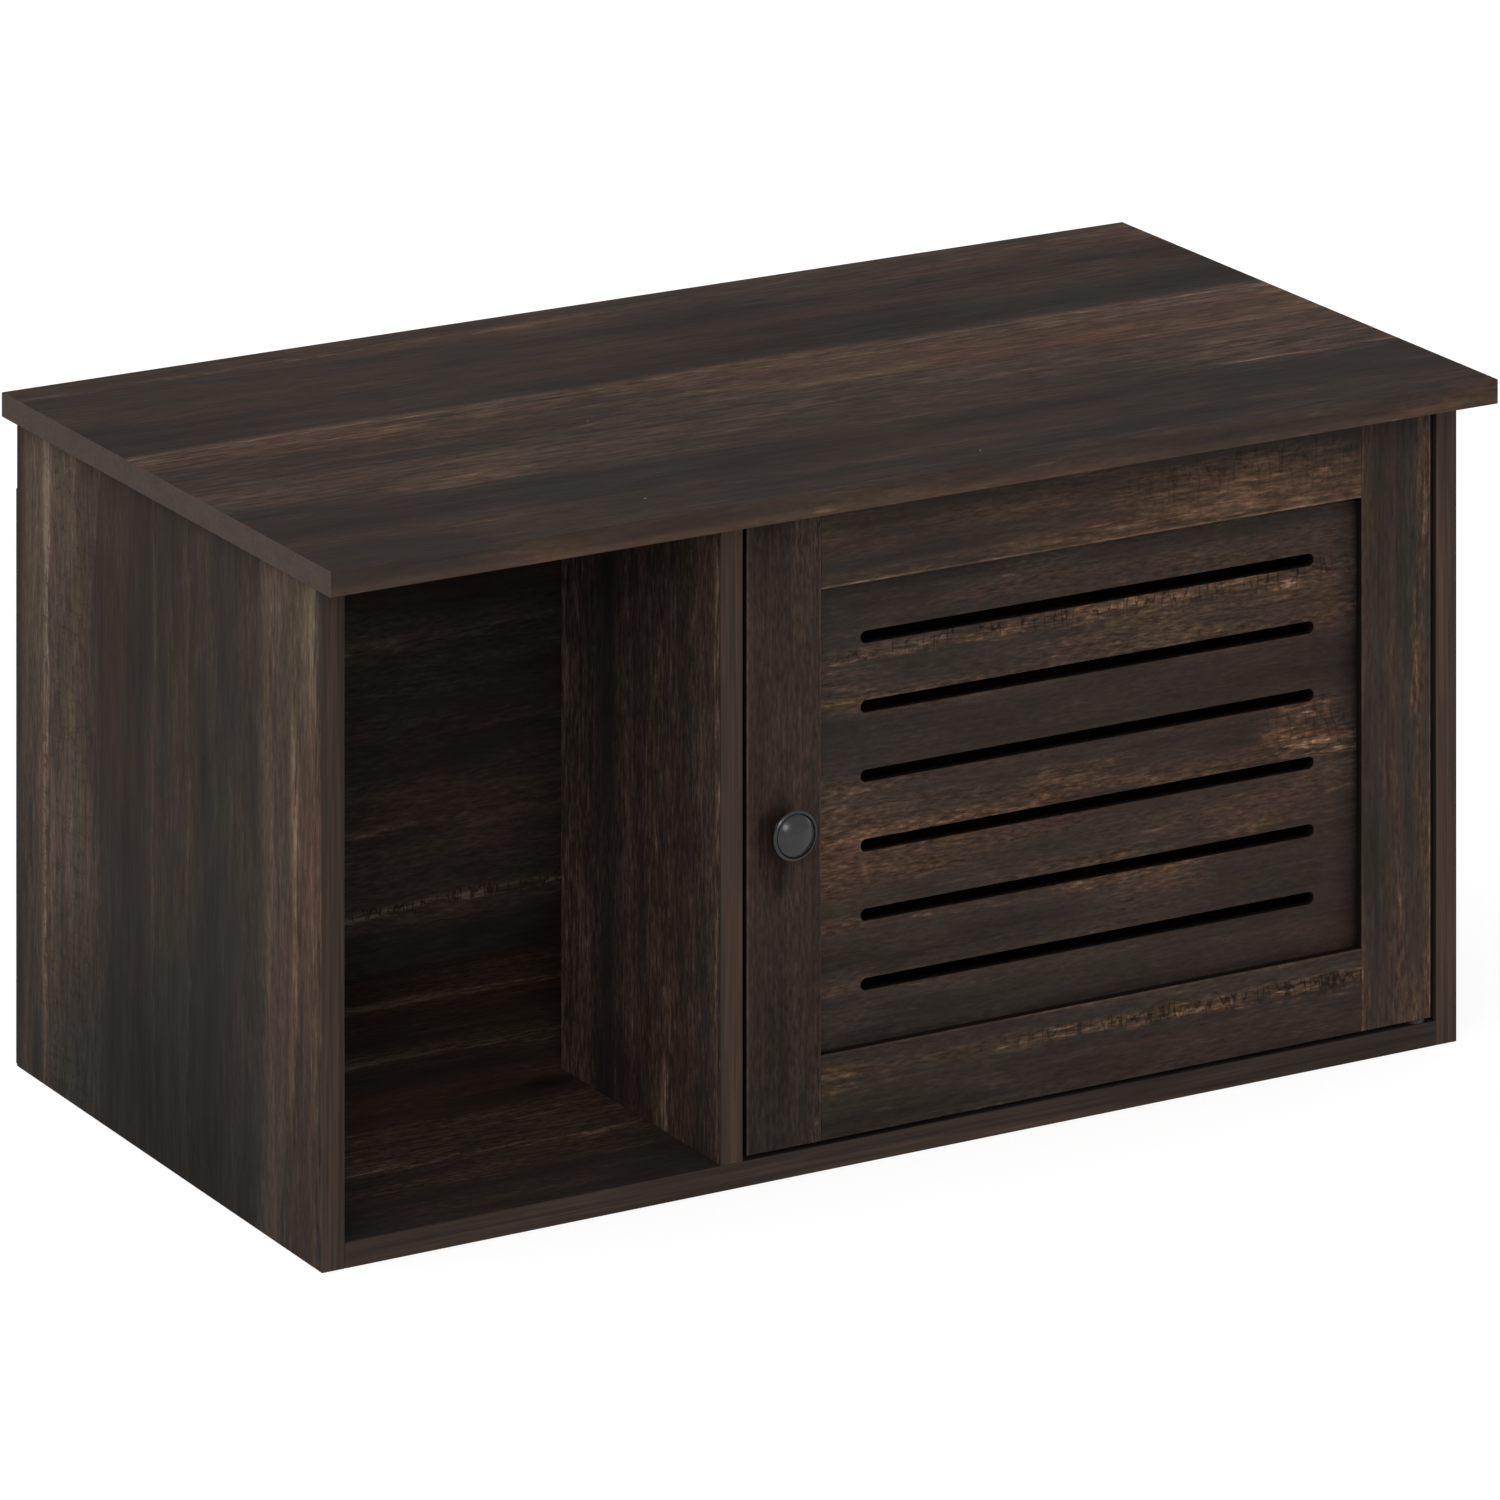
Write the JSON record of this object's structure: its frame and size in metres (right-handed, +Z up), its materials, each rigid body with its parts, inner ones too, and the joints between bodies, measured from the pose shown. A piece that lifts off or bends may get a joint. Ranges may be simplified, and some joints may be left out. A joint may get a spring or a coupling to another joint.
{
  "type": "litter box enclosure",
  "caption": "Low rectangular wooden cabinet that hides a litter tray: an open compartment, a half-depth divider with a passage behind it, and a framed, slotted door with a knob.",
  "frame": {"origin": "centre of the overall footprint, on the floor", "axes": "+X to the right along the front, +Y to the back, +Z up"},
  "size_m": [0.86, 0.464, 0.44],
  "materials": {
    "laminate": "dark brown wood-print laminate on particle board, satin, with matching edge bands",
    "door_laminate": "dark brown wood-print laminate, satin",
    "hardboard": "thin hardboard with a printed dark wood face",
    "knob_black": "satin black",
    "steel": "bright turned steel",
    "zinc": "zinc plated",
    "nylon": "black nylon",
    "catch_plastic": "dark brown moulded plastic, fine grain",
    "magnet": "dull sintered ferrite",
    "beech": "plain beech, fluted and unfinished"
  },
  "bodies": {
    "cabinet": {"top_panel": "laminate", "left_side_panel": "laminate", "right_side_panel": "laminate", "bottom_panel": "laminate", "divider_panel": "laminate", "rear_top_rail": "laminate", "back_panel": "hardboard", "upper_pivot_bush": "nylon", "lower_pivot_bush": "nylon", "catch_housing": "catch_plastic", "catch_magnet": "magnet", "catch_pole_plates": "steel", "catch_screws": "zinc", "cam_discs": "zinc", "cam_bolts": "zinc", "wooden_dowels": "beech", "divider_screws": "zinc", "back_panel_nails": "steel"},
    "door": {"door_knob_stile": "door_laminate", "door_hinge_stile": "door_laminate", "door_top_rail": "door_laminate", "door_bottom_rail": "door_laminate", "door_slotted_panel": "door_laminate", "door_knob": "knob_black", "knob_screw": "zinc", "upper_pivot_pin": "steel", "lower_pivot_pin": "steel", "strike_plate": "zinc", "strike_screw": "zinc"}
  },
  "joints": [
    {"name": "door_hinge", "type": "hinge", "parent": "cabinet", "child": "door", "pos_m": [0.3905, -0.192, 0.22], "axis": [0, 0, 1], "range_deg": [0, 105]}
  ]
}
